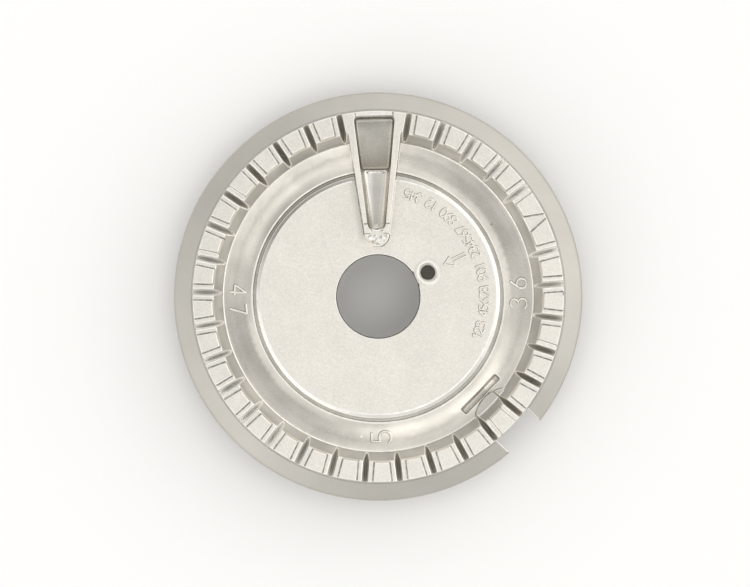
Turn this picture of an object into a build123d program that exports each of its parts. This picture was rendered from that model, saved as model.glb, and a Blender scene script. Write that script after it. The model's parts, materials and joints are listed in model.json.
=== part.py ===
from build123d import *
import math
import os

# Gas burner base: one aluminium die casting, in millimetres, +Z up.
# The origin is on the throat's axis, in the plane of the neck's lower end.
# +Y runs along the stability chamber, and angles are counted from +X.

# Throat and neck
throat_diameter = 23.6
throat_lead_in = 0.8
neck_wall = 3.2
neck_draft = 2.0
neck_root_chamfer = 1.6
neck_length = 12.0

# Floor: raised disc, groove, lip and the trough-shaped gas channel
floor_thickness = 3.0
disc_flat_width = 21.35
disc_height = 2.0
bevel_width = 1.3
bevel_drop = 0.6
groove_width = 0.6
groove_depth = 0.9
lip_width = 0.5
lip_height = 1.0
channel_width = 8.15
channel_outer_rise = 0.6
channel_facets = 5
recess_margin = 2.5

# Crown of ports
crown_height = 6.9
crown_slope_run = 2.8
pad_length = 5.35
crown_outer_height = 9.2
crown_flare = 0.9
port_count = 33
port_width = 1.6
port_bottom_width = 0.3
port_floor_rise = 0.4
ledge_width = 1.6
ledge_depth = 0.9
cross_port_step = 6
cross_port_inner_width = 4.9
cross_port_outer_width = 1.7

# Flange with the notch and pocket for the spark electrode
flange_width = 5.05
flange_drop = 2.8
flange_thickness = 2.4
flange_edge_chamfer = 0.4
notch_angle = -45.0
notch_width = 12.5
notch_inset = 1.2
notch_roof_wall = 2.8
notch_wall = 3.1
bulge_height = 1.5

# Slot in the channel, inward of the notch
slot_length = 13.8
slot_width = 2.15
slot_depth = 0.9
slot_offset = 0.2

# Stability chamber: two walls, a deep pocket and a trough towards the throat
chamber_end_gap = 6.4
chamber_inner_width = 5.2
chamber_inner_taper = 6.1
chamber_wall = 1.2
chamber_wall_taper = 8.1
chamber_draft = 1.5
chamber_end_wall = 1.3
chamber_lip = 0.4
end_wall_inset = 0.4
inlet_length = 2.3
inlet_depth = 1.2
inlet_mouth_width = 3.2
trough_rise = 2.6
trough_floor_radius = 2.3
pocket_depth = 3.5
pocket_corner_radius = 1.2
pocket_floor_radius = 1.2
pocket_wall = 2.2
pocket_floor_thickness = 2.5
deflector_gap = 2.3
deflector_height = 1.6
deflector_facet = 1.2
facet_tilt = 45.0
facet_turn = 35.0

# Screw hole beside the throat
screw_angle = 90.0 - cross_port_step * 360.0 / port_count
screw_hole_diameter = 3.9
screw_gap = 1.75
screw_countersink_width = 1.1
screw_countersink_depth = 0.9
screw_rim_width = 0.6
screw_rim_height = 0.25
screw_boss_wall = 2.3

# How far a cutting shape runs past the face that it opens
overrun = 1.0

# Radii, counted outwards from the throat
throat_radius = throat_diameter / 2
neck_radius = throat_radius + neck_wall
disc_radius = throat_radius + disc_flat_width
bevel_radius = disc_radius + bevel_width
groove_radius = bevel_radius + groove_width
lip_radius = groove_radius + lip_width
channel_radius = lip_radius + channel_width
channel_middle = (lip_radius + channel_radius) / 2
pad_inner_radius = channel_radius + crown_slope_run
pad_outer_radius = pad_inner_radius + pad_length
crown_foot_radius = pad_outer_radius + crown_flare
rim_radius = crown_foot_radius + flange_width

# Levels, counted upwards from the neck's lower end
plate_z = neck_length
channel_z = plate_z + floor_thickness
channel_edge_z = channel_z + channel_outer_rise
lip_z = channel_z + lip_height
disc_z = channel_z + disc_height
deflector_z = disc_z + deflector_height
bevel_z = disc_z - bevel_drop
groove_z = bevel_z - groove_depth
recess_z = disc_z - floor_thickness
crown_z = channel_edge_z + crown_height
ledge_z = crown_z - ledge_depth
port_floor_z = channel_edge_z + port_floor_rise
flange_z = crown_z - crown_outer_height
rim_z = flange_z - flange_drop
bulge_z = channel_z + bulge_height
top_z = crown_z + overrun

# Places along the stability chamber, as distances from the axis
chamber_outer_width = chamber_inner_width + 2 * chamber_wall
chamber_end = throat_radius + chamber_end_gap - chamber_lip
inlet_radius = throat_radius + chamber_end_gap + inlet_length
trough_end = throat_radius + chamber_end_gap
pocket_start = lip_radius
pocket_end = pad_outer_radius - chamber_end_wall
taper_start = trough_end + chamber_inner_width / 2

port_pitch = 360.0 / port_count
notch_radius = pad_outer_radius - notch_inset
screw_radius = throat_radius + screw_gap + screw_hole_diameter / 2


def cylinder_between(radius, z_low, z_high):
    """An upright cylinder on the throat's axis."""
    return Pos(0, 0, z_low) * Cylinder(
        radius, z_high - z_low, align=(Align.CENTER, Align.CENTER, Align.MIN)
    )


def box_between(x_low, x_high, y_low, y_high, z_low, z_high):
    """A box given by its limits along each axis."""
    size = (x_high - x_low, y_high - y_low, z_high - z_low)
    return Pos(x_low, y_low, z_low) * Box(*size, align=Align.MIN)


def turned_body():
    """The casting's round form: neck, floor, crown ring and flange."""
    neck_top_radius = neck_radius + recess_z * math.tan(math.radians(neck_draft))
    step_radius = disc_radius - recess_margin
    slope = flange_drop / flange_width
    underside_z = rim_z - flange_thickness
    flange_root = rim_radius - (plate_z - underside_z) / slope
    inner_side = Polyline(
        (0, 0),
        (0, disc_z),
        (disc_radius, disc_z),
        (bevel_radius, bevel_z),
        (bevel_radius, groove_z),
        (groove_radius, groove_z),
        (lip_radius, lip_z),
    )
    trough = ThreePointArc(
        (lip_radius, lip_z), (channel_middle, channel_z), (channel_radius, channel_edge_z)
    )
    channel = Polyline(*[trough @ (step / channel_facets) for step in range(channel_facets + 1)])
    outer_side = Polyline(
        (channel_radius, channel_edge_z),
        (pad_inner_radius, crown_z),
        (pad_outer_radius, crown_z),
        (crown_foot_radius, flange_z),
        (rim_radius, rim_z),
        (rim_radius, underside_z),
        (flange_root, plate_z),
        (step_radius, plate_z),
        (step_radius - (recess_z - plate_z), recess_z),
        (neck_top_radius, recess_z),
        (neck_radius, 0),
        (0, 0),
    )
    section = make_face([inner_side, channel, outer_side])
    corners = section.vertices()
    rim = [corners.sort_by_distance((rim_radius, z))[0] for z in (rim_z, underside_z)]
    section = chamfer(rim, flange_edge_chamfer)
    root = section.vertices().sort_by_distance((neck_top_radius, recess_z))[0]
    section = chamfer(root, neck_root_chamfer)
    return revolve(Plane.XZ * section, Axis.Z)


def port_tool():
    """The narrow gas port, along +X, with drafted sides."""
    top = port_width / 2
    bottom = port_bottom_width / 2
    section = make_face(
        Polyline(
            (-bottom, port_floor_z),
            (-top, ledge_z),
            (-top, top_z),
            (top, top_z),
            (top, ledge_z),
            (bottom, port_floor_z),
            close=True,
        )
    )
    length = crown_foot_radius + overrun - channel_middle
    return extrude(Plane.YZ.offset(channel_middle) * section, amount=length)


def ledge_tool(right_side, left_side):
    """The shallow step along +X beside a port, which carries the flame across."""
    half = port_width / 2 + ledge_width
    low = -half if right_side else 0
    high = half if left_side else 0
    return box_between(channel_middle, crown_foot_radius + overrun, low, high, ledge_z, top_z)


def cross_port_tool():
    """The one port that is only a shallow wedge, wide inside and narrow outside."""
    length = pad_outer_radius - pad_inner_radius
    narrowing = (cross_port_inner_width - cross_port_outer_width) / 2 / length
    reach = 2 * overrun
    inner = cross_port_inner_width / 2 + narrowing * reach
    outer = cross_port_outer_width / 2 - narrowing * overrun / 2
    start = pad_inner_radius - reach
    end = pad_outer_radius + overrun / 2
    plan = make_face(Polyline((start, -inner), (end, -outer), (end, outer), (start, inner), close=True))
    return extrude(Pos(0, 0, ledge_z) * plan, amount=top_z - ledge_z)


def crown_cuts():
    """All ports: the first place is taken by the chamber, and its two neighbours have one ledge."""
    port = port_tool()
    cuts = []
    for step in range(1, port_count):
        turn = Rot(0, 0, 90.0 - step * port_pitch)
        if step == cross_port_step:
            cuts.append(turn * cross_port_tool())
            continue
        beside_right = step == 1
        beside_left = step == port_count - 1
        cuts.append(turn * port)
        cuts.append(turn * ledge_tool(right_side=not beside_left, left_side=not beside_right))
    return cuts


def chamber_plan(width, taper, y_low, y_high, margin=0.0):
    """The chamber's tapered plan between two distances from the axis."""
    slope = math.tan(math.radians(taper))
    low = width / 2 + (y_low - taper_start) * slope + margin
    high = width / 2 + (y_high - taper_start) * slope + margin
    return make_face(Polyline((-low, y_low), (low, y_low), (high, y_high), (-high, y_high), close=True))


def drafted_block(plan):
    """A plan at the pads' level, drawn down into the floor with the chamber walls' draft."""
    root_z = (recess_z + channel_z) / 2
    return extrude(Pos(0, 0, crown_z) * plan, amount=root_z - crown_z, taper=-chamber_draft)


def chamber_walls():
    """The chamber's two walls as one drafted block, level with the pads and rooted in the floor."""
    y_high = (pad_inner_radius + pad_outer_radius) / 2
    return drafted_block(chamber_plan(chamber_outer_width, chamber_wall_taper, chamber_end, y_high))


def chamber_sump():
    """The floor and sides of the deep pocket, where it hangs below the plate."""
    sump_z = channel_z - pocket_depth - pocket_floor_thickness
    plan = chamber_plan(
        chamber_inner_width, chamber_inner_taper, pocket_start - pocket_wall, pad_outer_radius, pocket_wall
    )
    plan = fillet(plan.vertices(), pocket_corner_radius)
    return extrude(Pos(0, 0, sump_z) * plan, amount=plate_z + floor_thickness / 2 - sump_z)


def chamber_cuts():
    """The deep pocket, the trough, the lowered outer wall, and the lowered gas inlet with its mouth."""
    pocket_plan = chamber_plan(chamber_inner_width, chamber_inner_taper, pocket_start, pocket_end)
    pocket_plan = fillet(pocket_plan.vertices(), pocket_corner_radius)
    pocket_z = channel_z - pocket_depth
    pocket = extrude(Pos(0, 0, pocket_z) * pocket_plan, amount=top_z - pocket_z)
    pocket = fillet(pocket.faces().sort_by(Axis.Z)[0].edges(), pocket_floor_radius)

    trough_z = channel_z + trough_rise
    trough_plan = chamber_plan(
        chamber_inner_width, chamber_inner_taper, taper_start, pocket_start + pocket_corner_radius
    )
    round_end = Pos(0, taper_start) * Circle(chamber_inner_width / 2)
    trough = extrude(Pos(0, 0, trough_z) * (trough_plan + round_end), amount=top_z - trough_z)
    trough = fillet(trough.faces().sort_by(Axis.Z)[0].edges(), trough_floor_radius)

    end_plan = chamber_plan(
        chamber_inner_width,
        chamber_inner_taper,
        pocket_end - pocket_corner_radius,
        pad_outer_radius + overrun,
        -end_wall_inset,
    )
    end_wall = extrude(Pos(0, 0, ledge_z) * end_plan, amount=top_z - ledge_z)
    inlet = box_between(
        -chamber_outer_width,
        chamber_outer_width,
        chamber_end - overrun,
        inlet_radius,
        crown_z - inlet_depth,
        top_z,
    )
    mouth_half = inlet_mouth_width / 2
    mouth = box_between(-mouth_half, mouth_half, chamber_end - overrun, taper_start, deflector_z, top_z)
    return [pocket, trough, end_wall, inlet, mouth]


def deflector():
    """The low round-ended pad before the chamber, flush with its walls and sloped at one side."""
    slope = math.tan(math.radians(chamber_wall_taper))
    tip_y = throat_radius + deflector_gap
    tip_half_width = chamber_outer_width / 2 + (tip_y - taper_start) * slope
    round_radius = tip_half_width / (1 - slope)
    centre_y = tip_y + round_radius
    plan = chamber_plan(chamber_outer_width, chamber_wall_taper, centre_y, chamber_end + overrun)
    plan += Pos(0, centre_y) * Circle(round_radius)
    reach = 2 * chamber_outer_width
    above = box_between(-reach, reach, 0, chamber_end + reach, deflector_z, top_z)
    facet = Box(reach, reach, reach, align=(Align.MAX, Align.CENTER, Align.MIN))
    facet = Pos(deflector_facet - round_radius, 0, 0) * Rot(0, -facet_tilt, 0) * facet
    facet = Pos(0, centre_y, deflector_z) * Rot(0, 0, facet_turn) * facet
    return drafted_block(plan) - [above, facet]


def electrode_bulge():
    """The low round-fronted step that roofs the electrode's pocket, inside the crown."""
    front = Pos(notch_radius, 0, plate_z) * Cylinder(
        notch_width / 2 + notch_wall, bulge_z - plate_z, align=(Align.CENTER, Align.CENTER, Align.MIN)
    )
    inside_crown = cylinder_between(pad_inner_radius, plate_z, bulge_z)
    return Rot(0, 0, notch_angle) * (front & inside_crown)


def electrode_notch():
    """The round-ended cut through the flange and under the crown, along +X and then turned."""
    roof_z = bulge_z - notch_roof_wall
    half = notch_width / 2
    reach = rim_radius + overrun
    round_end = Pos(notch_radius, 0, -overrun) * Cylinder(
        half, roof_z + overrun, align=(Align.CENTER, Align.CENTER, Align.MIN)
    )
    gap = box_between(notch_radius, reach, -half, half, -overrun, roof_z)
    return Rot(0, 0, notch_angle) * (round_end + gap)


def channel_slot():
    """The straight slot in the channel's floor, with a half-round floor of its own."""
    centre = channel_middle + slot_offset
    half = slot_width / 2
    slot_z = channel_z - slot_depth
    plan_box = box_between(
        centre - half, centre + half, -slot_length / 2, slot_length / 2, slot_z + half, lip_z + overrun
    )
    floor = Pos(centre, 0, slot_z + half) * Rot(90, 0, 0) * Cylinder(half, slot_length)
    return Rot(0, 0, notch_angle) * (plan_box + floor)


def screw_place():
    """Where the screw hole's axis meets the plane of the neck's lower end."""
    return Rot(0, 0, screw_angle) * Pos(screw_radius, 0, 0)


def screw_boss():
    """The column under the screw hole, and the low rim around its mouth."""
    hole_radius = screw_hole_diameter / 2
    boss = cylinder_between(hole_radius + screw_boss_wall, 0, disc_z)
    rim_inner = hole_radius + screw_countersink_width
    rim = Pos(0, 0, disc_z) * Cone(
        rim_inner + screw_rim_width,
        rim_inner,
        screw_rim_height,
        align=(Align.CENTER, Align.CENTER, Align.MIN),
    )
    return screw_place() * (boss + rim)


def screw_hole():
    """The through hole and its countersink."""
    hole_radius = screw_hole_diameter / 2
    mouth_z = disc_z + screw_rim_height
    hole = cylinder_between(hole_radius, -overrun, mouth_z + overrun)
    countersink = Pos(0, 0, mouth_z - screw_countersink_depth) * Cone(
        hole_radius,
        hole_radius + screw_countersink_width,
        screw_countersink_depth,
        align=(Align.CENTER, Align.CENTER, Align.MIN),
    )
    return screw_place() * (hole + countersink)


def throat_bore():
    """The throat's bore with a conical lead-in at its lower end."""
    bore = cylinder_between(throat_radius, -overrun, top_z)
    lead_in = Cone(
        throat_radius + throat_lead_in,
        throat_radius,
        throat_lead_in,
        align=(Align.CENTER, Align.CENTER, Align.MIN),
    )
    return bore + lead_in


def burner_base():
    """The whole casting."""
    body = turned_body() + electrode_bulge() + chamber_walls() + chamber_sump()
    body += [deflector(), screw_boss()]
    body -= crown_cuts()
    body -= chamber_cuts()
    body -= [electrode_notch(), channel_slot(), screw_hole(), throat_bore()]
    return body


os.makedirs("parts", exist_ok=True)
export_step(burner_base(), "parts/burner_base.step")
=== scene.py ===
import json
import math

import bmesh
import bpy
from mathutils import Matrix, Vector, noise
from mathutils.bvhtree import BVHTree


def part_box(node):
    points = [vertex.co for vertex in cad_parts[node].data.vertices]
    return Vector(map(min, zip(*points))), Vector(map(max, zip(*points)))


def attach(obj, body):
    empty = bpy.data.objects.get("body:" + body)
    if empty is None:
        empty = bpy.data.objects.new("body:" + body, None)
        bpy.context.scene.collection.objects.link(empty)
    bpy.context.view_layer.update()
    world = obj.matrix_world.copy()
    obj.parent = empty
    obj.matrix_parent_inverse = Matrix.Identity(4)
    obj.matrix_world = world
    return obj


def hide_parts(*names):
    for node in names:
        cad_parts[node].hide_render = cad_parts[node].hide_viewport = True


MM = 0.001

# Photograph and camera: straight down on the part, which lies turned a little to the left
PHOTO_SIZE = (750, 587)
AXIS_PIXEL = (378.2, 296.5)
PIXELS_PER_METRE = 3498.0
CAMERA_HEIGHT = 1.0
PHOTO_TURN = math.radians(1.3)
SENSOR_WIDTH = 36.0

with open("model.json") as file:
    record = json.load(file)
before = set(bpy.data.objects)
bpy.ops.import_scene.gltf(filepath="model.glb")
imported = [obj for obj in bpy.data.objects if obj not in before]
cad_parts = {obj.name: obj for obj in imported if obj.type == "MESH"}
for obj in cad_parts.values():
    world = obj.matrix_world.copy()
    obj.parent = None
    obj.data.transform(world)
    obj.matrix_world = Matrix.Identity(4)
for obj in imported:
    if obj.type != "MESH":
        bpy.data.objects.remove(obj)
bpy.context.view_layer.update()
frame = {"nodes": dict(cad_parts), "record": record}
casting_node = frame["nodes"]["burner_base"]
mounts = {mount["name"]: mount for mount in frame["record"]["mounts"]}

# Places on the casting that its finish and its marks follow, from the axis outwards
THROAT_RADIUS = mounts["throat"]["dims"]["r_mm"] * MM
SCREW_PLACE = Vector(mounts["screw_hole"]["pos_m"])
SCREW_ANGLE = math.atan2(SCREW_PLACE.y, SCREW_PLACE.x)
SCREW_HOLE_RADIUS = mounts["screw_hole"]["dims"]["r_mm"] * MM
SCREW_SEAT_RADIUS = SCREW_HOLE_RADIUS + 1.9 * MM
DISC_TOP = 17.0 * MM
DISC_EDGE = 33.15 * MM
GROOVE_START = 34.45 * MM
GROOVE_END = 35.05 * MM
DEEP_LEVEL = 14.0 * MM
CHANNEL_MIDDLE = 39.6 * MM
CHANNEL_LEVEL = 15.0 * MM
CHANNEL_EDGE = 43.7 * MM
CHANNEL_EDGE_TOP = 15.6 * MM
PAD_INNER_RADIUS = 46.5 * MM
PAD_OUTER_RADIUS = 51.85 * MM
CROWN_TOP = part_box("burner_base")[1].z
CROWN_FOOT = 52.75 * MM
CROWN_FOOT_TOP = 13.3 * MM
LEDGE_DEPTH = 0.9 * MM
LEDGE_SHADE_LEVEL = CROWN_TOP - 1.5 * LEDGE_DEPTH
RIM_RADIUS = 57.8 * MM

# The chamber in the crown, from the deflector before it to its pocket, along +Y
DEFLECTOR_CENTRE = 17.4 * MM
DEFLECTOR_RADIUS = 3.3 * MM
DEFLECTOR_SHADE_START = 0.3 * DEFLECTOR_RADIUS
CHAMBER_END = 17.8 * MM
CHAMBER_HALF_WIDTH = 5.9 * MM
INLET_LEVEL = CROWN_TOP - 1.2 * MM
MOUTH_HALF_WIDTH = 1.6 * MM
TROUGH_FLOOR = 17.6 * MM
TROUGH_ROUND = 2.3 * MM
TROUGH_SIDE_END = -1.5 * MM
TROUGH_MIDDLE_START = -0.4 * MM
POCKET_START = 35.55 * MM
POCKET_FLOOR = 11.5 * MM
POCKET_WALL_FOOT = POCKET_FLOOR + 1.0 * MM
POCKET_WALL_MIDDLE = POCKET_FLOOR + 2.0 * MM
POCKET_END_SHADE = PAD_OUTER_RADIUS - 2.0 * MM

# The foot of the chamber's left wall in plan, by its outward direction and its offset from the axis, and the
# reach of the soft shade beside it
WALL_OUTWARD = (-1.0, -0.1423)
WALL_OFFSET = 0.84 * MM
WALL_SHADE_REACH = 2.6 * MM

# The slot in the channel, which has a bulge on its outer side
SLOT_PLACE = Vector((28.15, -28.15)) * MM
SLOT_OUTWARD = SLOT_PLACE.normalized()
SLOT_HALF_WIDTH = 1.3 * MM
SLOT_REACH = 7.3 * MM

# Nicks in the channel, then painted highlights along its slot: place and reach in millimetres, and tone
# against the skin
NICKS_AND_SLOT_HIGHLIGHTS = [
    (-5.6, -39.3, 0.5, 1.4),
    (32.35, 19.55, 0.5, 0.6),
    # The last three are painted highlights along the slot
    (29.9, -26.4, 0.95, 1.5),
    (30.7, -25.6, 0.95, 1.5),
    (31.5, -24.8, 0.95, 1.5),
]
SPOT_CORE = 0.3

# Rounding of the casting's sharp edges, with none where the screw's seat comes close to the throat, and how
# near to a place an edge counts as on it
SHARP_ANGLE = math.radians(18)
EDGE_ROUNDING = 0.28 * MM
THROAT_ROUNDING = 0.35 * MM
STEP_ROUNDING = 0.45 * MM
LEDGE_ROUNDING = 0.42 * MM
POCKET_ROUNDING = 0.7 * MM
WIDEST_ROUNDING = max(EDGE_ROUNDING, THROAT_ROUNDING, STEP_ROUNDING, LEDGE_ROUNDING, POCKET_ROUNDING)
ROUNDING_STEPS = 3
NEAR = 0.12 * MM
CLOSE_PLACE = SCREW_PLACE.xy.normalized() * THROAT_RADIUS
CLOSE_RADIUS = 2.0 * MM

# Cleaning of the frame's mesh: vertices joined, flat faces merged, and the steps of circles cut
WELD_DISTANCE = 2e-6
FLAT_ANGLE = math.radians(0.5)
CIRCLE_PLAY = 0.004 * MM
CIRCLE_STEP = 0.7 * MM
CIRCLE_STEP_SHARE = 0.5
CIRCLE_ROUNDS = 2

# Slots of the casting's materials: plain, bright wear or a painted highlight, and painted shade in inner
# corners
PLAIN, BRIGHT_OR_HIGHLIT, SHADED_CORNER = range(3)

# Raised marks: half the width of a line, the longest step along it, and the steps of an arc in degrees
ARROW_LINE = 0.32 * MM
DISC_LINE = 0.33 * MM
CHANNEL_LINE = 0.40 * MM
LINE_STEP = 0.3 * MM
ARC_STEP = 20
ARC_LEAST_STEPS = 4

# Softness of the borders between the casting's finishes
SOFT = 0.15 * MM

# Colours of the casting; a pair goes from its first to its second along the surface or round the casting
SKIN_COLOUR = (0.67, 0.635, 0.57)
CROWN_SIDE_COLOUR = (0.60, 0.588, 0.565)
FLAT_COLOUR = (0.87, 0.835, 0.76)
SEAT_COLOUR = (0.80, 0.77, 0.70)
FLANGE_COLOUR = (0.54, 0.518, 0.468)
# Painted shade down the throat's bore
THROAT_SHADE_COLOUR = (0.22, 0.205, 0.18)
SCREW_BORE_COLOUR = (0.80, 0.75, 0.66)
# Bevel and groove: their colour, then painted shade on the shaded side; the groove's colour is painted darker
# too, as shade in the crease
BEVEL_COLOUR_AND_SHADE = ((0.82, 0.795, 0.735), (0.45, 0.43, 0.385))
GROOVE_SHADES = ((0.58, 0.56, 0.51), (0.34, 0.32, 0.28))
# Ports: their colour, then a pale colour of painted light in the ports on the lit sides
PORT_COLOUR_AND_LIGHT = ((0.63, 0.60, 0.535), (0.98, 0.965, 0.925))
# Trough: a painted highlight on its left side and painted shade on its floor, both lighter towards the pocket
TROUGH_SIDE_LIGHT = ((0.74, 0.72, 0.67), (0.87, 0.845, 0.79))
TROUGH_FLOOR_SHADES = ((0.575, 0.55, 0.50), (0.665, 0.635, 0.58))
# Pocket: painted shade on its floor and at its outer end, and painted light on its walls
POCKET_FLOOR_SHADES = ((0.39, 0.358, 0.30), (0.625, 0.597, 0.535))
POCKET_END_SHADE_COLOUR = (0.47, 0.45, 0.405)
POCKET_WALL_LIGHT = (0.88, 0.862, 0.825)

# Roughness of the casting's kinds of surface, and how far the grain changes it
SKIN_ROUGHNESS = 0.25
CROWN_ROUGHNESS = 0.42
FLAT_ROUGHNESS = 0.42
SEAT_ROUGHNESS = 0.34
FLANGE_ROUGHNESS = 0.45
THROAT_ROUGHNESS = 0.60
GRAIN_ROUGHNESS = 0.12

# How metallic the ports look: partly diffuse, and wholly diffuse in the ports painted pale as painted light
PORT_METALLIC = 0.35
LIT_PORT_METALLIC = 0.0

# Grain and stains: the size, detail and gain of their noise, and their strength by the kind of surface
GRAIN_NOISE = (0.42 * MM, 2.0, 0.6)
STAIN_NOISE = (11 * MM, 3.0, 0.55)
SKIN_SPECKLE, FLAT_SPECKLE = 0.10, 0.39
SKIN_STAIN, FLAT_STAIN = 0.20, 0.05
SKIN_RELIEF, FLAT_RELIEF, FLANGE_RELIEF = 0.05, 1.0, 0.12
RELIEF_HEIGHT = 0.05 * MM
RELIEF_STRENGTH = 0.8

# Sides with painted shade or painted light: direction in degrees from +X, and the cosines of the turn from it
# at which the painted shade or light starts and is full
PAINTED_SHADE_SIDE = (115, 0.3, 1.0)
SHADED_PAD_SIDE = (130, -0.5, 0.6)
LIT_PORT_SIDES = ((30, 0.55, 1.0), (199, 0.35, 0.98))

# Tones of painted shade against the casting's own colour, and the painted sheen across the channel, off its
# edges
SLOT_SHADE_TONE = 0.84
WALL_SHADE_TONE = 0.80
PAD_SHADE_TONE = 0.935
SHEEN_DIRECTION = 122
SHEEN_LEAST = 0.83
SHEEN_GAIN = 0.6
SHEEN_MARGIN = 1.0 * MM

# The range that most of a noise lies in
NOISE_RANGE = (0.3, 0.7)

# Rings of soft bright panels in the room: elevation and reach in degrees, brightness round from +X
PANEL_RINGS = [
    (90, 26, [0.35]),
    (65, 27, [0.09, 0.36, 0.64, 0.36, 0.11, 1.11]),
    (42, 32, [0.90, 0.66, 0.68, 0.12, 0.55, 0.84, 0.52, 0.34]),
    (18, 32, [1.12, 1.12, 0.84, 0.85, 0.85, 1.00, 0.56, 0.76]),
]


class Nodes:
    """Short forms for building a node tree."""

    def __init__(self, owner):
        owner.use_nodes = True
        self.tree = owner.node_tree
        self.tree.nodes.clear()

    def add(self, kind, settings=None, **inputs):
        """A node, with values or other nodes' outputs on its named inputs."""
        node = self.tree.nodes.new(kind)
        for name, value in (settings or {}).items():
            setattr(node, name, value)
        for name, value in inputs.items():
            self.put(node, name.replace("_", " "), value)
        return node

    def put(self, node, name, value):
        """A number, a vector, a colour or a link on one input, given by its name or number."""
        socket = node.inputs[name]
        if isinstance(value, bpy.types.NodeSocket):
            self.tree.links.new(value, socket)
        elif socket.type == "RGBA":
            socket.default_value = (*value, 1.0)
        else:
            socket.default_value = value

    def place(self):
        """The place of a point in the object's own frame."""
        return self.add("ShaderNodeTexCoord").outputs["Object"]

    def math(self, operation, first, second=0.0):
        """The result of a math node on two values."""
        node = self.add("ShaderNodeMath", {"operation": operation})
        self.put(node, 0, first)
        self.put(node, 1, second)
        return node.outputs[0]

    def vector(self, operation, first, second=(0.0, 0.0, 0.0)):
        """The results of a vector math node: its Vector and its Value."""
        node = self.add("ShaderNodeVectorMath", {"operation": operation})
        self.put(node, 0, first)
        self.put(node, 1, second)
        return node.outputs

    def scaled(self, value, factor, shift):
        """A value times a factor, plus a shift."""
        return self.math("ADD", self.math("MULTIPLY", value, factor), shift)

    def band(self, value, low, high, to_low, to_high):
        """A value carried smoothly from low..high to to_low..to_high."""
        node = self.add("ShaderNodeMapRange", {"interpolation_type": "SMOOTHSTEP"})
        for socket, number in enumerate((value, low, high, to_low, to_high)):
            self.put(node, socket, number)
        return node.outputs["Result"]

    def rise(self, value, low, high):
        """A mask that is 0 up to low and 1 from high on."""
        return self.band(value, low, high, 0.0, 1.0)

    def fall(self, value, low, high):
        """A mask that is 1 up to low and 0 from high on."""
        return self.band(value, low, high, 1.0, 0.0)

    def all_of(self, first, *others):
        """The product of several masks or tones."""
        for other in others:
            first = self.math("MULTIPLY", first, other)
        return first

    def any_of(self, first, *others):
        """The highest of several masks."""
        for other in others:
            first = self.math("MAXIMUM", first, other)
        return first

    def blend(self, factor, first, second):
        """Two colours, or two numbers, mixed by a factor."""
        colours = isinstance(second, tuple) or getattr(second, "type", "") == "RGBA"
        node = self.add("ShaderNodeMix", {"data_type": "RGBA" if colours else "FLOAT"})
        start = 6 if colours else 2
        self.put(node, 0, factor)
        self.put(node, start, first)
        self.put(node, start + 1, second)
        return node.outputs[2 if colours else 0]

    def layers(self, base, *coats):
        """A colour or a number with others laid over it in turn, each by its mask."""
        for mask, coat in coats:
            base = self.blend(mask, base, coat)
        return base

    def noise(self, place, size, detail, gain):
        """Noise from 0 to 1 with features of about a given size."""
        node = self.add("ShaderNodeTexNoise", Vector=place, Scale=1 / size, Detail=detail, Roughness=gain)
        return node.outputs["Fac"]

    def metal(self, colour, roughness, metallic=1.0, **others):
        """The metal shader, on a material's output."""
        shader = self.add("ShaderNodeBsdfPrincipled", Base_Color=colour, Roughness=roughness, **others)
        self.put(shader, "Metallic", metallic)
        self.finish("ShaderNodeOutputMaterial", shader)

    def finish(self, kind, shader):
        """The output node of a material or a world."""
        self.add(kind, Surface=shader.outputs[0])


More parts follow.
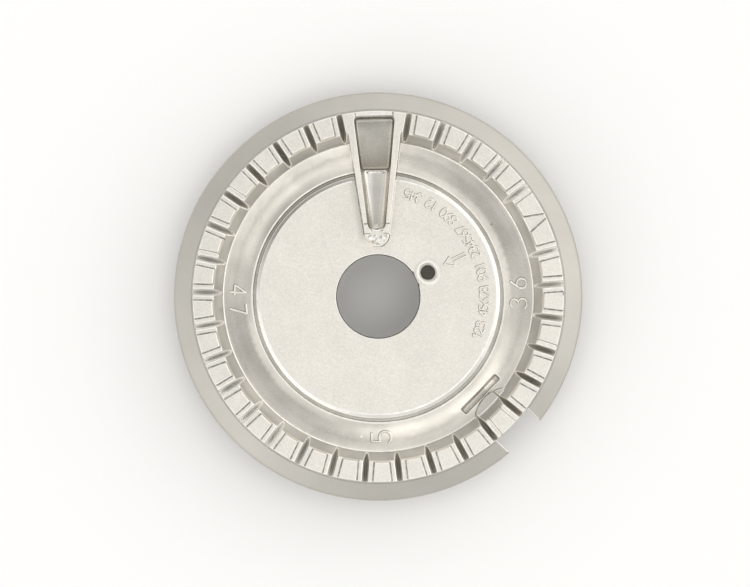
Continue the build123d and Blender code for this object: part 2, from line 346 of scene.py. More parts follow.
class CastingZones:
    """Where each finish of the casting lies, as masks from 0 to 1."""

    def __init__(self, nodes):
        self.nodes = nodes
        self.place = nodes.place()
        axes = nodes.add("ShaderNodeSeparateXYZ", Vector=self.place).outputs
        self.x, self.y, self.height = axes["X"], axes["Y"], axes["Z"]
        self.plan = nodes.vector("MULTIPLY", self.place, (1.0, 1.0, 0.0))["Vector"]
        self.radius = nodes.vector("LENGTH", self.plan)["Value"]
        self.outward = nodes.vector("NORMALIZE", self.plan)["Vector"]
        self.find_flats()
        self.find_chamber()
        self.find_crown()
        self.find_bores()
        self.find_channel()
        self.find_lit_and_shaded_sides()

    def along(self, x, y):
        """How far a point lies along a direction in plan."""
        return self.nodes.vector("DOT_PRODUCT", self.place, (x, y, 0.0))["Value"]

    def distance(self, x, y):
        """How far a point lies in plan from a given one."""
        return self.nodes.vector("DISTANCE", self.plan, (x, y, 0.0))["Value"]

    def facing(self, degrees):
        """The cosine of the turn round the axis from a direction."""
        turn = math.radians(degrees)
        return self.nodes.vector("DOT_PRODUCT", self.outward, (math.cos(turn), math.sin(turn), 0.0))["Value"]

    def side(self, degrees, start, full):
        """One side of the casting."""
        return self.nodes.rise(self.facing(degrees), start, full)

    def find_flats(self):
        """The blasted flats, which are the crown's pads, the disc and the deflector's top, and the flange."""
        nodes = self.nodes
        self.crown_flats = nodes.rise(self.height, INLET_LEVEL - 2 * SOFT, INLET_LEVEL - SOFT)
        self.disc = nodes.all_of(
            nodes.fall(self.radius, DISC_EDGE, DISC_EDGE + SOFT),
            nodes.rise(self.height, DISC_TOP - 2 * SOFT, DISC_TOP - SOFT),
            nodes.fall(self.height, DISC_TOP + 2 * SOFT, DISC_TOP + 4 * SOFT),
        )
        deflector = nodes.all_of(
            nodes.fall(self.radius, DEFLECTOR_CENTRE + 6 * SOFT, DEFLECTOR_CENTRE + 7 * SOFT),
            nodes.rise(self.height, DISC_TOP + 4 * SOFT, DISC_TOP + 6 * SOFT),
        )
        self.flats = nodes.any_of(self.crown_flats, self.disc, deflector)
        self.flange = nodes.all_of(
            nodes.rise(self.radius, CROWN_FOOT - 3 * SOFT, CROWN_FOOT - 2 * SOFT),
            nodes.fall(self.height, CROWN_FOOT_TOP + 2 * SOFT, CROWN_FOOT_TOP + 3 * SOFT),
        )

    def find_chamber(self):
        """The chamber's pocket and trough, and the shade on the disc beside its left wall."""
        nodes = self.nodes
        self.outside_chamber = nodes.any_of(
            nodes.rise(nodes.math("ABSOLUTE", self.x), CHAMBER_HALF_WIDTH - SOFT, CHAMBER_HALF_WIDTH),
            nodes.fall(self.y, 0.0, SOFT),
        )
        in_chamber = nodes.math("SUBTRACT", 1.0, self.outside_chamber)
        self.pocket = nodes.all_of(
            in_chamber,
            nodes.fall(self.height, INLET_LEVEL - 2 * SOFT, INLET_LEVEL - SOFT),
            nodes.rise(self.y, POCKET_START - 2 * SOFT, POCKET_START - SOFT),
            nodes.fall(self.radius, PAD_OUTER_RADIUS - 2 * SOFT, PAD_OUTER_RADIUS - SOFT),
        )
        self.trough = nodes.all_of(
            in_chamber,
            nodes.rise(self.height, TROUGH_FLOOR - 2 * SOFT, TROUGH_FLOOR - SOFT),
            nodes.rise(self.radius, CHAMBER_END, CHAMBER_END + SOFT),
            nodes.fall(self.radius, POCKET_START + SOFT, POCKET_START + 2 * SOFT),
        )
        wall_gap = nodes.math("SUBTRACT", self.along(*WALL_OUTWARD), WALL_OFFSET)
        self.beside_chamber = nodes.all_of(
            self.disc,
            nodes.rise(wall_gap, -2 * SOFT, 0.0),
            nodes.fall(wall_gap, 3 * SOFT, WALL_SHADE_REACH),
            nodes.rise(self.y, DEFLECTOR_CENTRE - DEFLECTOR_RADIUS, DEFLECTOR_CENTRE),
        )

    def find_crown(self):
        """The crown's sloped sides, and the ports cut in them."""
        nodes = self.nodes
        inside = nodes.all_of(
            nodes.rise(self.radius, CHANNEL_EDGE, CHANNEL_EDGE + SOFT),
            nodes.rise(self.height, CHANNEL_EDGE_TOP - 2 * SOFT, CHANNEL_EDGE_TOP - SOFT),
            self.outside_chamber,
        )
        outside = nodes.all_of(
            nodes.rise(self.radius, PAD_OUTER_RADIUS - SOFT, PAD_OUTER_RADIUS),
            nodes.rise(self.height, CROWN_FOOT_TOP - 2 * SOFT, CROWN_FOOT_TOP - SOFT),
        )
        self.crown_sides = nodes.any_of(inside, outside)
        slope = (CROWN_TOP - CHANNEL_EDGE_TOP) / (PAD_INNER_RADIUS - CHANNEL_EDGE)
        slope_height = nodes.scaled(self.radius, slope, CHANNEL_EDGE_TOP - slope * CHANNEL_EDGE)
        crown_height = nodes.math("MINIMUM", slope_height, CROWN_TOP - LEDGE_DEPTH)
        flare = (CROWN_FOOT - PAD_OUTER_RADIUS) / (CROWN_TOP - CROWN_FOOT_TOP)
        outer_face = nodes.scaled(self.height, -flare, PAD_OUTER_RADIUS + flare * CROWN_TOP)
        self.ports = nodes.all_of(
            inside,
            nodes.rise(nodes.math("SUBTRACT", crown_height, self.height), 2 * SOFT, 6 * SOFT),
            nodes.rise(nodes.math("SUBTRACT", outer_face, self.radius), SOFT, 2 * SOFT),
        )

    def find_bores(self):
        """The throat, and the screw hole with its seat."""
        nodes = self.nodes
        below_disc = nodes.fall(self.height, DISC_TOP - 4 * SOFT, DISC_TOP - 2 * SOFT)
        in_throat = nodes.fall(self.radius, THROAT_RADIUS + SOFT, THROAT_RADIUS + 2 * SOFT)
        self.throat = nodes.all_of(in_throat, below_disc)
        screw_radius = self.distance(SCREW_PLACE.x, SCREW_PLACE.y)
        in_hole = nodes.fall(screw_radius, SCREW_HOLE_RADIUS + SOFT, SCREW_HOLE_RADIUS + 2 * SOFT)
        self.screw_bore = nodes.all_of(in_hole, below_disc)
        self.screw_seat = nodes.all_of(
            nodes.fall(screw_radius, SCREW_SEAT_RADIUS, SCREW_SEAT_RADIUS + SOFT),
            nodes.rise(self.height, DISC_TOP - 6 * SOFT, DISC_TOP - 5 * SOFT),
        )

    def find_channel(self):
        """The disc's bevel and the groove at its foot, the gas channel that carries the painted sheen, and
        its slot.
        """
        nodes = self.nodes
        self.bevel = nodes.all_of(
            nodes.rise(self.radius, DISC_EDGE - SOFT, DISC_EDGE),
            nodes.fall(self.radius, GROOVE_START - SOFT, GROOVE_START),
            nodes.rise(self.height, DISC_TOP - 6 * SOFT, DISC_TOP - 5 * SOFT),
            nodes.fall(self.height, DISC_TOP + SOFT, DISC_TOP + 2 * SOFT),
        )
        self.groove = nodes.all_of(
            nodes.rise(self.radius, GROOVE_START - SOFT, GROOVE_START),
            nodes.fall(self.radius, GROOVE_END, GROOVE_END + SOFT),
            nodes.fall(self.height, DISC_TOP - 5 * SOFT, DISC_TOP - 4 * SOFT),
            nodes.rise(self.height, DEEP_LEVEL, DEEP_LEVEL + SOFT),
        )
        self.channel = nodes.all_of(
            nodes.rise(self.radius, GROOVE_END + SHEEN_MARGIN, CHANNEL_MIDDLE),
            nodes.fall(self.radius, CHANNEL_MIDDLE, CHANNEL_EDGE - SHEEN_MARGIN),
            nodes.fall(self.height, CHANNEL_EDGE_TOP - SOFT, CHANNEL_EDGE_TOP + SOFT),
            self.outside_chamber,
        )
        across = nodes.math("SUBTRACT", self.along(*SLOT_OUTWARD), SLOT_PLACE.length)
        along = self.along(-SLOT_OUTWARD.y, SLOT_OUTWARD.x)
        self.slot = nodes.all_of(
            nodes.fall(nodes.math("ABSOLUTE", across), SLOT_HALF_WIDTH - SOFT, SLOT_HALF_WIDTH),
            nodes.fall(nodes.math("ABSOLUTE", along), SLOT_REACH - SOFT, SLOT_REACH),
            nodes.fall(self.height, CHANNEL_LEVEL - 3 * SOFT, CHANNEL_LEVEL - SOFT),
        )

    def find_lit_and_shaded_sides(self):
        """The side with painted shade on the bevel and groove, the sides whose ports are painted light, and
        the pads in painted shade.
        """
        nodes = self.nodes
        self.painted_shade_side = self.side(*PAINTED_SHADE_SIDE)
        self.lit_ports = nodes.any_of(*(self.side(*side) for side in LIT_PORT_SIDES))
        self.shaded_pads = nodes.all_of(self.crown_flats, self.outside_chamber, self.side(*SHADED_PAD_SIDE))


def trough_light_and_shade(nodes, zones):
    """Painted light and shade in the chamber's trough: a painted highlight on its left side, all lighter
    towards the pocket.
    """
    along = nodes.rise(zones.y, CHAMBER_END, POCKET_START)
    side = nodes.blend(along, *TROUGH_SIDE_LIGHT)
    floor = nodes.blend(along, *TROUGH_FLOOR_SHADES)
    return nodes.blend(nodes.rise(zones.x, TROUGH_SIDE_END, TROUGH_MIDDLE_START), side, floor)


def pocket_light_and_shade(nodes, zones):
    """Painted shade and light in the chamber's pocket: a floor in painted shade, darkest at its inner end,
    and walls painted light.
    """
    floor = nodes.blend(nodes.rise(zones.y, POCKET_START, PAD_INNER_RADIUS), *POCKET_FLOOR_SHADES)
    return nodes.layers(
        floor,
        (nodes.rise(zones.y, PAD_INNER_RADIUS, POCKET_END_SHADE), POCKET_END_SHADE_COLOUR),
        (nodes.rise(zones.height, POCKET_WALL_FOOT, POCKET_WALL_MIDDLE), POCKET_WALL_LIGHT),
    )


def casting_colour(nodes, zones):
    """The casting's colour by zone, later ones over earlier ones, with painted light and shade on the bevel,
    groove, trough, pocket, throat and ports.
    """
    return nodes.layers(
        SKIN_COLOUR,
        (zones.crown_sides, CROWN_SIDE_COLOUR),
        (zones.bevel, nodes.blend(zones.painted_shade_side, *BEVEL_COLOUR_AND_SHADE)),
        (zones.groove, nodes.blend(zones.painted_shade_side, *GROOVE_SHADES)),
        (zones.trough, trough_light_and_shade(nodes, zones)),
        (zones.flats, FLAT_COLOUR),
        (zones.screw_seat, SEAT_COLOUR),
        (zones.flange, FLANGE_COLOUR),
        (zones.pocket, pocket_light_and_shade(nodes, zones)),
        (zones.throat, THROAT_SHADE_COLOUR),
        (zones.screw_bore, SCREW_BORE_COLOUR),
        (zones.ports, nodes.blend(zones.lit_ports, *PORT_COLOUR_AND_LIGHT)),
    )


def casting_tone(nodes, zones, unevenness):
    """How light the casting is against its own colour: stains, speckle and nicks, painted highlights in the
    slot, a painted sheen in the channel, and painted shade.
    """
    stains = nodes.noise(zones.place, *STAIN_NOISE)
    stain_strength = nodes.blend(nodes.any_of(zones.flats, zones.flange), SKIN_STAIN, FLAT_STAIN)
    stained = nodes.math("MULTIPLY", nodes.band(stains, *NOISE_RANGE, -0.5, 0.5), stain_strength)
    speckle = nodes.math("MULTIPLY", unevenness, nodes.blend(zones.flats, SKIN_SPECKLE, FLAT_SPECKLE))
    tones = [nodes.math("ADD", nodes.math("ADD", stained, 1.0), speckle)]
    for x, y, reach, tone in NICKS_AND_SLOT_HIGHLIGHTS:
        distance = zones.distance(x * MM, y * MM)
        tones.append(nodes.band(distance, SPOT_CORE * reach * MM, reach * MM, tone, 1.0))
    # Painted sheen across the channel, and painted shade in the slot, beside the chamber's wall and on the
    # shaded pads
    across = zones.facing(SHEEN_DIRECTION)
    sheen = nodes.scaled(nodes.math("MULTIPLY", across, across), SHEEN_GAIN, SHEEN_LEAST)
    tones.append(nodes.layers(1.0, (zones.channel, sheen), (zones.slot, SLOT_SHADE_TONE)))
    tones.append(nodes.blend(zones.beside_chamber, 1.0, WALL_SHADE_TONE))
    tones.append(nodes.blend(zones.shaded_pads, 1.0, PAD_SHADE_TONE))
    return nodes.all_of(*tones)


def casting_roughness(nodes, zones, unevenness):
    """The casting's roughness by zone, later ones over earlier ones."""
    roughness = nodes.layers(
        SKIN_ROUGHNESS,
        (zones.crown_sides, CROWN_ROUGHNESS),
        (zones.flats, FLAT_ROUGHNESS),
        (zones.screw_seat, SEAT_ROUGHNESS),
        (zones.flange, FLANGE_ROUGHNESS),
        (zones.throat, THROAT_ROUGHNESS),
    )
    return nodes.math("ADD", roughness, nodes.math("MULTIPLY", unevenness, GRAIN_ROUGHNESS))


def cast_aluminium():
    """As-cast aluminium: grainy on the blasted flats, smooth in the channel, dull on crown and flange."""
    material = bpy.data.materials.new("cast_aluminium")
    nodes = Nodes(material)
    zones = CastingZones(nodes)
    grain = nodes.noise(zones.place, *GRAIN_NOISE)
    unevenness = nodes.math("SUBTRACT", grain, 0.5)
    tone = casting_tone(nodes, zones, unevenness)
    toned = nodes.add("ShaderNodeHueSaturation", Color=casting_colour(nodes, zones), Value=tone)
    strength = nodes.layers(SKIN_RELIEF, (zones.flats, FLAT_RELIEF), (zones.flange, FLANGE_RELIEF))
    relief = nodes.math("MULTIPLY", grain, strength)
    bump = nodes.add("ShaderNodeBump", Height=relief, Distance=RELIEF_HEIGHT, Strength=RELIEF_STRENGTH)
    nodes.metal(
        toned.outputs["Color"],
        casting_roughness(nodes, zones, unevenness),
        nodes.blend(zones.ports, 1.0, nodes.blend(zones.lit_ports, PORT_METALLIC, LIT_PORT_METALLIC)),
        Normal=bump.outputs["Normal"],
    )
    return material


def patchy_metal(name, noise_form, borders, colours, roughness, metallic=1.0):
    """Metal in patches of two colours, each with its own roughness."""
    material = bpy.data.materials.new(name)
    nodes = Nodes(material)
    patches = nodes.noise(nodes.place(), *noise_form)
    colour = nodes.blend(nodes.rise(patches, *borders), *colours)
    nodes.metal(colour, nodes.band(patches, *NOISE_RANGE, *roughness), metallic)
    return material


def worn_edge_or_highlight():
    """The casting's metal where its edges are rubbed bright, and a painted highlight on some inner edges."""
    colours = ((0.87, 0.84, 0.78), (0.95, 0.925, 0.87))
    return patchy_metal("worn_edge_or_highlight", (1.4 * MM, 3.0, 0.6), (0.35, 0.65), colours, roughness=(0.42, 0.24))


def corner_shade():
    """Dark painted shade in the casting's inner corners."""
    colours = ((0.28, 0.27, 0.245), (0.47, 0.455, 0.42))
    return patchy_metal(
        "corner_shade", (1.1 * MM, 3.0, 0.6), (0.35, 0.65), colours, roughness=(0.7, 0.5), metallic=0.8
    )


def broken_skin():
    """Bright, broken metal with dull flecks."""
    colours = ((0.52, 0.50, 0.45), (0.96, 0.935, 0.88))
    return patchy_metal("broken_skin", (0.9 * MM, 3.0, 0.7), (0.40, 0.58), colours, roughness=(0.5, 0.3))


def raised_mark():
    """The smoother skin of the raised marks, with painted shade on the flanks that face one way and a painted
    highlight on the others.
    """
    top_colours = ((0.80, 0.765, 0.69), (0.90, 0.865, 0.79))
    flank_light_and_shade = ((0.95, 0.925, 0.87), (0.10, 0.093, 0.08))
    noise_form, roughness = (0.8 * MM, 2.0, 0.5), (0.24, 0.34)
    top_border, side_border = (0.55, 0.95), (-0.3, 0.2)
    shade_direction = (-0.8, 0.6, 0.0)
    material = bpy.data.materials.new("raised_mark")
    nodes = Nodes(material)
    patches = nodes.noise(nodes.place(), *noise_form)
    normal = nodes.add("ShaderNodeTexCoord").outputs["Normal"]
    upward = nodes.vector("DOT_PRODUCT", normal, (0.0, 0.0, 1.0))["Value"]
    toward_shade = nodes.vector("DOT_PRODUCT", normal, shade_direction)["Value"]
    top = nodes.blend(patches, *top_colours)
    flanks = nodes.blend(nodes.rise(toward_shade, *side_border), *flank_light_and_shade)
    colour = nodes.blend(nodes.fall(upward, *top_border), top, flanks)
    nodes.metal(colour, nodes.band(patches, *NOISE_RANGE, *roughness))
    return material


CAST = cast_aluminium()
WORN_OR_HIGHLIT = worn_edge_or_highlight()
SHADE_IN_CORNERS = corner_shade()
MARK = raised_mark()
SCAR = broken_skin()


def add_piece(name, data, *materials):
    """A new piece of the casting, in the casting's frame."""
    for material in materials:
        data.materials.append(material)
    piece = bpy.data.objects.new(name, data)
    bpy.context.scene.collection.objects.link(piece)
    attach(piece, "root")
    return piece


def edge_rounding(edge):
    """How far an edge of the casting is rounded: not at all where it is nearly smooth."""
    if edge.calc_face_angle(0) < SHARP_ANGLE:
        return 0.0
    middle = (edge.verts[0].co + edge.verts[1].co) / 2
    radius = math.hypot(middle.x, middle.y)
    if abs(middle.z - DISC_TOP) < NEAR and (middle.xy - CLOSE_PLACE).length < CLOSE_RADIUS:
        return 0.0
    if abs(radius - THROAT_RADIUS) < NEAR and abs(middle.z - DISC_TOP) < NEAR:
        return THROAT_ROUNDING
    in_chamber = abs(middle.x) < CHAMBER_HALF_WIDTH
    on_step = abs(middle.y - POCKET_START) < NEAR and middle.z > TROUGH_FLOOR - NEAR
    if in_chamber and on_step and middle.z < TROUGH_FLOOR + TROUGH_ROUND:
        return STEP_ROUNDING
    in_pocket = in_chamber and POCKET_START - NEAR < middle.y < PAD_OUTER_RADIUS
    if in_pocket and abs(middle.z - POCKET_FLOOR) < NEAR:
        return POCKET_ROUNDING
    if abs(middle.z - CROWN_TOP + LEDGE_DEPTH) < NEAR and PAD_INNER_RADIUS < radius < PAD_OUTER_RADIUS:
        return LEDGE_ROUNDING
    return EDGE_ROUNDING


def chamber_corner_finish(place):
    """The finish of a rounded inner corner in the chamber or beside it: plain, or painted shade."""
    radius = place.xy.length
    low = place.z < DISC_TOP + 2 * EDGE_ROUNDING
    if place.z < DEEP_LEVEL or radius > PAD_OUTER_RADIUS or (low and radius > DISC_EDGE):
        return PLAIN
    if place.y < CHAMBER_END - EDGE_ROUNDING:
        return SHADED_CORNER if low and place.x > DEFLECTOR_SHADE_START else PLAIN
    if abs(place.x) < MOUTH_HALF_WIDTH + EDGE_ROUNDING and place.y < CHAMBER_END + DEFLECTOR_RADIUS:
        return PLAIN
    return PLAIN if low and place.x > 0 else SHADED_CORNER


def edge_finish(place, hollow):
    """The finish of a rounded face, as the casting's slot: plain metal, rubbed bright or a painted highlight,
    or painted shade.
    """
    radius = place.xy.length
    offset = place.xy - SLOT_PLACE
    across = offset.dot(SLOT_OUTWARD)
    near_slot = offset.length < SLOT_REACH
    on_bulge = near_slot and across > SLOT_HALF_WIDTH and radius < CHANNEL_EDGE - EDGE_ROUNDING
    if not hollow:
        return PLAIN if on_bulge or radius > RIM_RADIUS - 2 * EDGE_ROUNDING else BRIGHT_OR_HIGHLIT
    if abs(place.x) <= CHAMBER_HALF_WIDTH and place.y >= DEFLECTOR_CENTRE - 2 * DEFLECTOR_RADIUS:
        return chamber_corner_finish(place)
    # Inner corners: painted shade on the bulge, in the slot and under the ledges, and a painted highlight
    # along the channel's outer edge and in part of the slot
    if on_bulge:
        return SHADED_CORNER
    if abs(radius - CHANNEL_EDGE) < 2 * EDGE_ROUNDING:
        return BRIGHT_OR_HIGHLIT
    if near_slot and abs(across) < SLOT_HALF_WIDTH:
        return BRIGHT_OR_HIGHLIT if offset.x > SLOT_HALF_WIDTH and offset.y < SLOT_REACH / 2 else SHADED_CORNER
    return SHADED_CORNER if radius > CHANNEL_EDGE and place.z > LEDGE_SHADE_LEVEL else PLAIN


def finish_edges(mesh):
    """Sets the finish of the faces that the rounding made."""
    shape = bmesh.new()
    shape.from_mesh(mesh)
    for face in shape.faces:
        if face.material_index == BRIGHT_OR_HIGHLIT:
            hollow = sum(edge.calc_face_angle_signed(0) for edge in face.edges) < 0
            face.material_index = edge_finish(face.calc_center_median(), hollow)
    shape.to_mesh(mesh)
    shape.free()


def round_circles(shape):
    """Cuts the straight steps of the circles around the throat's axis, and puts the cuts on the circles."""
    steps = []
    for edge in shape.edges:
        first, second = (vert.co for vert in edge.verts)
        radius = first.xy.length
        level = abs(first.z - second.z) < WELD_DISTANCE
        concentric = abs(radius - second.xy.length) < CIRCLE_PLAY
        if level and concentric and CIRCLE_STEP < edge.calc_length() < CIRCLE_STEP_SHARE * radius:
            steps.append(edge)
    ends = {vert: vert.co.xy.length for edge in steps for vert in edge.verts}
    made = bmesh.ops.subdivide_edges(shape, edges=steps, cuts=1, use_grid_fill=True)
    for vert in (item for item in made["geom_inner"] if isinstance(item, bmesh.types.BMVert)):
        radii = [ends[edge.other_vert(vert)] for edge in vert.link_edges if edge.other_vert(vert) in ends]
        if radii:
            vert.co.xy *= max(radii) / vert.co.xy.length


def casting_mesh():
    """The frame's casting with merged flats and rounder circles, its edges weighted for their rounding."""
    shape = bmesh.new()
    shape.from_mesh(casting_node.data)
    bmesh.ops.remove_doubles(shape, verts=shape.verts, dist=WELD_DISTANCE)
    bmesh.ops.dissolve_limit(shape, angle_limit=FLAT_ANGLE, verts=shape.verts, edges=shape.edges)
    for _ in range(CIRCLE_ROUNDS):
        round_circles(shape)
    shape.normal_update()
    weights = shape.edges.layers.float.new("bevel_weight_edge")
    for edge in shape.edges:
        edge[weights] = edge_rounding(edge) / WIDEST_ROUNDING
    mesh = bpy.data.meshes.new("burner_casting")
    shape.to_mesh(mesh)
    shape.free()
    mesh.shade_smooth()
    return mesh


def round_edges(piece):
    """Rounds a piece's edges by their weights, for good."""
    sharp = piece.data
    rounding = piece.modifiers.new("rounded_edges", "BEVEL")
    rounding.limit_method = "WEIGHT"
    rounding.width = WIDEST_ROUNDING
    rounding.segments = ROUNDING_STEPS
    rounding.use_clamp_overlap = False
    rounding.miter_outer = "MITER_ARC"
    rounding.material = BRIGHT_OR_HIGHLIT
    rounded = bpy.data.meshes.new_from_object(piece.evaluated_get(bpy.context.evaluated_depsgraph_get()))
    piece.modifiers.remove(rounding)
    piece.data = rounded
    bpy.data.meshes.remove(sharp)
    rounded.name = piece.name


def dress_casting():
    """The casting with its sharp edges rounded, standing for the plain node."""
    casting = add_piece("burner_casting", casting_mesh(), CAST, WORN_OR_HIGHLIT, SHADE_IN_CORNERS)
    round_edges(casting)
    finish_edges(casting.data)
    casting.modifiers.new("flat_faces", "WEIGHTED_NORMAL").keep_sharp = True
    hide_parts("burner_base")


casting_surface = BVHTree.FromPolygons(
    [vertex.co for vertex in casting_node.data.vertices],
    [list(face.vertices) for face in casting_node.data.polygons],
)


def surface_height(x, y):
    """The height of the casting's upper surface at a point in plan."""
    return casting_surface.ray_cast(Vector((x, y, 2 * CROWN_TOP)), Vector((0, 0, -1)))[0].z


def arc(x, y, wide, high, start, end):
    """Points along an elliptic arc, with angles in degrees."""
    count = max(ARC_LEAST_STEPS, round(abs(end - start) / ARC_STEP))
    angles = [math.radians(start + (end - start) * step / count) for step in range(count + 1)]
    return [(x + wide * math.cos(angle), y + high * math.sin(angle)) for angle in angles]


# Plain numerals as lines, in a box 0.6 wide and 1 high
NUMERALS = {
    "0": [arc(0.3, 0.5, 0.3, 0.5, 90, 450)],
    "1": [[(0.1, 0.75), (0.35, 1.0), (0.35, 0.0)]],
    "2": [arc(0.3, 0.7, 0.3, 0.3, 170, -35) + [(0.0, 0.0), (0.6, 0.0)]],
    "3": [arc(0.28, 0.76, 0.26, 0.24, 150, -90), arc(0.28, 0.27, 0.32, 0.27, 90, -150)],
    "4": [[(0.45, 0.0), (0.45, 1.0), (0.0, 0.3), (0.6, 0.3)]],
    "5": [[(0.55, 1.0), (0.1, 1.0), (0.05, 0.55)] + arc(0.27, 0.31, 0.33, 0.31, 125, -150)],
    "6": [[(0.5, 1.0)] + arc(0.3, 0.3, 0.3, 0.3, 150, 510)],
    "7": [[(0.0, 1.0), (0.6, 1.0), (0.2, 0.0)]],
    "8": [arc(0.3, 0.76, 0.25, 0.24, -90, 270), arc(0.3, 0.26, 0.3, 0.26, 90, 450)],
    "9": [[(0.1, 0.0)] + arc(0.3, 0.7, 0.3, 0.3, -30, 330)],
}
NUMERAL_WIDTH = 0.6
NUMERAL_HEIGHT = 1.0


def numeral(sign, size, radius, angle, up):
    """A numeral's lines in plan, centred at a radius and an angle, with its top towards up."""
    up_x, up_y = math.cos(up) * size, math.sin(up) * size
    centre_x, centre_y = radius * math.cos(angle), radius * math.sin(angle)
    lines = []
    for line in NUMERALS[sign]:
        centred = [(u - NUMERAL_WIDTH / 2, v - NUMERAL_HEIGHT / 2) for u, v in line]
        lines.append([(centre_x + u * up_y + v * up_x, centre_y - u * up_x + v * up_y) for u, v in centred])
    return lines


def in_steps(line):
    """A line in plan with points added, so that no step along it is too long."""
    path = [line[0]]
    for (x0, y0), (x1, y1) in zip(line, line[1:]):
        count = max(1, math.ceil(math.hypot(x1 - x0, y1 - y0) / LINE_STEP))
        for step in range(1, count + 1):
            path.append((x0 + (x1 - x0) * step / count, y0 + (y1 - y0) * step / count))
    return path


def raised_lines(name, lines, half_width):
    """A piece of half-round ridges that follow lines in plan over the casting's surface."""
    curve = bpy.data.curves.new(name, "CURVE")
    curve.dimensions = "3D"
    curve.bevel_depth = half_width
    curve.bevel_resolution = 2
    curve.use_fill_caps = True
    for line in lines:
        path = in_steps(line)
        spline = curve.splines.new("POLY")
        spline.points.add(len(path) - 1)
        for point, (x, y) in zip(spline.points, path):
            point.co = (x, y, surface_height(x, y), 1.0)
    add_piece(name, curve, MARK)


def make_arrow():
    """The outlined arrow beside the screw hole, pointing at it."""
    tip, barb, barb_angle = 20.5 * MM, 2.85 * MM, math.radians(30)
    shaft_start, shaft_end, shaft_half = 23.2 * MM, 27.3 * MM, 0.475 * MM
    lines = []
    for side in (-1, 1):
        back, across = barb * math.cos(barb_angle), side * barb * math.sin(barb_angle)
        lines.append([(tip, 0.0), (tip + back, across)])
        lines.append([(shaft_start, side * shaft_half), (shaft_end, side * shaft_half)])
    cos, sin = math.cos(SCREW_ANGLE), math.sin(SCREW_ANGLE)
    turned = [[(x * cos - y * sin, x * sin + y * cos) for x, y in line] for line in lines]
    raised_lines("cast_arrow", turned, ARROW_LINE)


def make_disc_numerals():
    """A curved row of plain numerals near the disc's edge, in groups, with their tops inwards."""
    radius, size = 29.9 * MM, 2.6 * MM
    angle, pitch, gap = -23.2, 3.3, 2.8
    groups = (3, 5, 3, 6, 3, 2, 3)
    lines = []
    count = 0
    for group in groups:
        for _ in range(group):
            count += 1
            turn = math.radians(angle)
            lines += numeral(str(count % 10), size, radius, turn, turn + math.pi)
            angle += pitch
        angle += gap
    raised_lines("cast_disc_numerals", lines, DISC_LINE)


def make_channel_numerals():
    """The larger plain numerals in the channel, at its two sides and its front."""
    side_size, front_size, half_pitch = 4.6 * MM, 5.5 * MM, 4.0
    for name, middle, signs in (("right", 0.0, "36"), ("left", 180.0, "47")):
        lines = []
        for sign, offset in zip(signs, (-half_pitch, half_pitch)):
            turn = math.radians(middle + offset)
            lines += numeral(sign, side_size, CHANNEL_MIDDLE, turn, turn + math.pi)
        raised_lines("cast_numerals_" + name, lines, CHANNEL_LINE)
    front = numeral("5", front_size, CHANNEL_MIDDLE, math.radians(270), math.pi)
    raised_lines("cast_numeral_front", front, CHANNEL_LINE)


def make_gate_scar():
    """The broken, chipped skin on the deflector, where the metal's gate was snapped off."""
    rings, sectors, reach = 8, 22, 0.93 * DEFLECTOR_RADIUS
    chip, chip_size, sunk_share, edge_share = 0.40 * MM, 0.75 * MM, 0.25, 0.5
    shape = bmesh.new()
    rows = []
    for ring in range(rings + 1):
        row = []
        for sector in range(sectors + 1):
            angle = math.pi * (1 + sector / sectors)
            radius = reach * ring / rings
            x = radius * math.cos(angle)
            y = DEFLECTOR_CENTRE + radius * math.sin(angle)
            rough = 0.5 + 0.5 * noise.noise(Vector((x, y, 0.0)) / chip_size)
            on_edge = ring == rings or sector in (0, sectors)
            lift = -edge_share * chip if on_edge else chip * (rough - sunk_share)
            row.append(shape.verts.new((x, y, surface_height(x, y) + lift)))
        rows.append(row)
    for inner, outer in zip(rows, rows[1:]):
        for sector in range(sectors):
            shape.faces.new((inner[sector], outer[sector], outer[sector + 1], inner[sector + 1]))
    bmesh.ops.remove_doubles(shape, verts=shape.verts, dist=WELD_DISTANCE)
    bmesh.ops.recalc_face_normals(shape, faces=shape.faces)
    mesh = bpy.data.meshes.new("gate_scar")
    shape.to_mesh(mesh)
    shape.free()
    add_piece("gate_scar", mesh, SCAR)


def table_finish():
    """A plain pale surface, with a faint glow where it is seen, straight or in the metal."""
    pale, glow_colour, glow_strength = (0.92, 0.91, 0.89), (1.0, 0.97, 0.92), 0.035
    material = bpy.data.materials.new("table_top")
    nodes = Nodes(material)
    path = nodes.add("ShaderNodeLightPath").outputs
    seen = nodes.any_of(path["Is Camera Ray"], path["Is Glossy Ray"], path["Is Transmission Ray"])
    strength = nodes.math("MULTIPLY", seen, glow_strength)
    diffuse = nodes.add("ShaderNodeBsdfDiffuse", Color=pale)
    glow = nodes.add("ShaderNodeEmission", Color=glow_colour, Strength=strength)
    both = nodes.add("ShaderNodeAddShader")
    nodes.put(both, 0, diffuse.outputs[0])
    nodes.put(both, 1, glow.outputs[0])
    nodes.finish("ShaderNodeOutputMaterial", both)
    return material


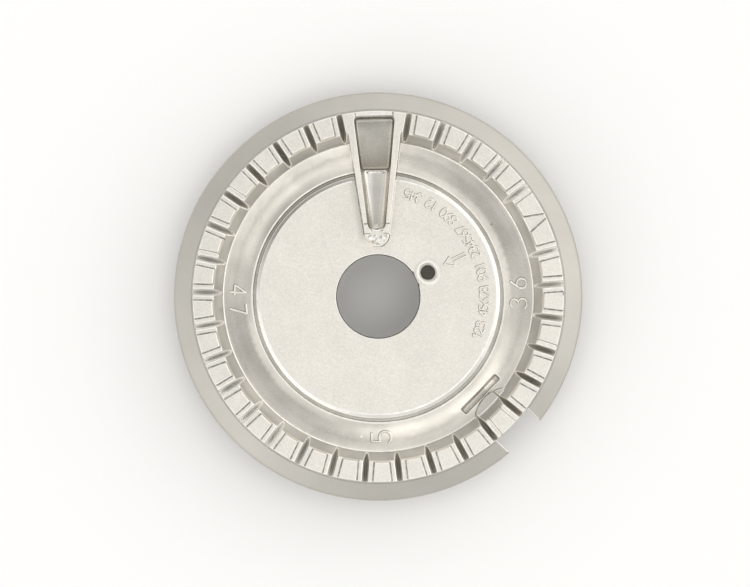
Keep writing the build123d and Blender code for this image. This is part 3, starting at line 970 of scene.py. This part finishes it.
def make_floor():
    """A plain pale table top, six metres square."""
    half = 3.0
    corners = [(-half, -half, 0), (half, -half, 0), (half, half, 0), (-half, half, 0)]
    mesh = bpy.data.meshes.new("table_top")
    mesh.from_pydata(corners, [], [(0, 1, 2, 3)])
    mesh.materials.append(table_finish())
    floor = bpy.data.objects.new("table_top", mesh)
    bpy.context.scene.collection.objects.link(floor)


def make_light():
    """A room of soft bright panels around the part, with only a weak one straight overhead."""
    world = bpy.data.worlds.new("room")
    nodes = Nodes(world)
    direction = nodes.add("ShaderNodeTexCoord").outputs["Generated"]
    level = 0.0
    for elevation, reach, ring in PANEL_RINGS:
        rise, edge = math.radians(elevation), math.cos(math.radians(reach))
        for step, brightness in enumerate(ring):
            turn = 2 * math.pi * step / len(ring)
            axis = (math.cos(turn) * math.cos(rise), math.sin(turn) * math.cos(rise), math.sin(rise))
            towards = nodes.vector("DOT_PRODUCT", direction, axis)["Value"]
            level = nodes.math("ADD", nodes.band(towards, edge, 1.0, 0.0, brightness), level)
    sky = nodes.add("ShaderNodeBackground", Color=(1.0, 1.0, 1.0), Strength=level)
    nodes.finish("ShaderNodeOutputWorld", sky)
    bpy.context.scene.world = world


def make_camera():
    """The photograph's view, with the part's axis at its pixel."""
    camera = bpy.data.cameras.new("photo_camera")
    camera.sensor_fit = "HORIZONTAL"
    camera.sensor_width = SENSOR_WIDTH
    camera.lens = SENSOR_WIDTH * PIXELS_PER_METRE * CAMERA_HEIGHT / PHOTO_SIZE[0]
    right = (PHOTO_SIZE[0] / 2 - AXIS_PIXEL[0]) / PIXELS_PER_METRE
    up = (AXIS_PIXEL[1] - PHOTO_SIZE[1] / 2) / PIXELS_PER_METRE
    viewpoint = bpy.data.objects.new("photo_camera", camera)
    turn = Matrix.Rotation(-PHOTO_TURN, 4, "Z")
    viewpoint.matrix_world = turn @ Matrix.Translation((right, up, CAMERA_HEIGHT))
    bpy.context.scene.collection.objects.link(viewpoint)
    bpy.context.scene.camera = viewpoint


dress_casting()
make_arrow()
make_disc_numerals()
make_channel_numerals()
make_gate_scar()
make_floor()
make_light()
make_camera()
bpy.context.scene.view_settings.view_transform = "Standard"
